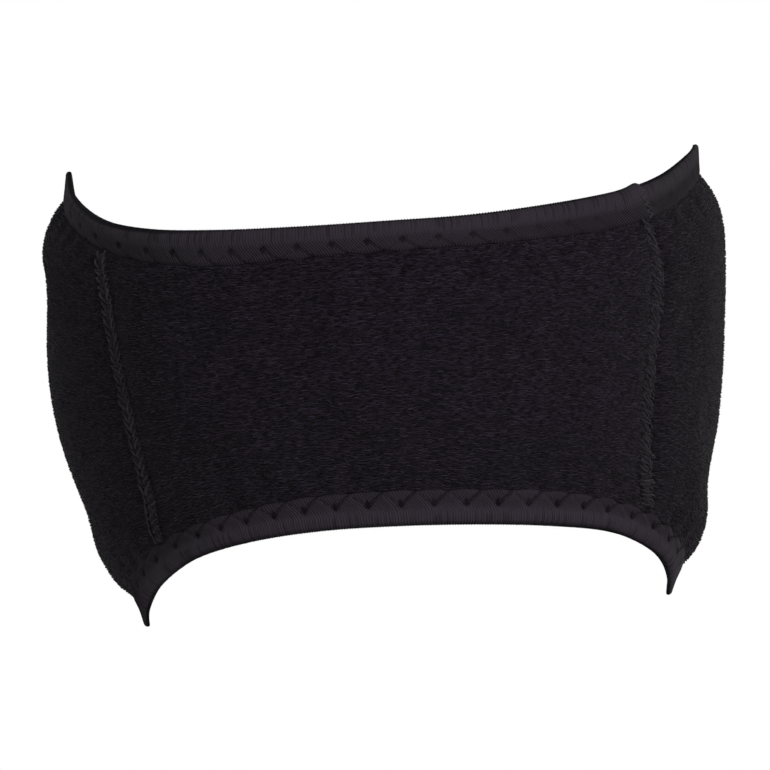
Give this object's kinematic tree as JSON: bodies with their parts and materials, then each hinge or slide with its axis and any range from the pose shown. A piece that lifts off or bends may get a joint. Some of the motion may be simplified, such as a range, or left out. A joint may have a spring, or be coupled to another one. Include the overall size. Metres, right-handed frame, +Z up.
{
  "type": "patella strap",
  "caption": "Padded plush knee band with elastic bound edges, stitched side seams and a hook closure behind, in its worn oval form.",
  "frame": {"origin": "on the axis of the knee, at mid height of the band's sides, where the leg holds the band", "axes": "+Z up the leg, the near side with the centre panel faces -Y, +X to the right of it"},
  "size_m": [0.1354, 0.1329, 0.0919],
  "materials": {
    "plush": "short loop pile over foam, black with a faint violet cast, matt",
    "seam_thread": "soft overlocked thread, matt black",
    "binding": "ribbed elastic tape, black, slight sheen",
    "closure": "woven hook tape, matt black"
  },
  "bodies": {
    "root": {"centre_panel": "plush", "left_panel": "plush", "right_panel": "plush", "left_seam": "seam_thread", "right_seam": "seam_thread", "top_binding": "binding", "top_binding_right": "binding", "bottom_binding": "binding", "hook_tab": "closure"}
  },
  "joints": []
}
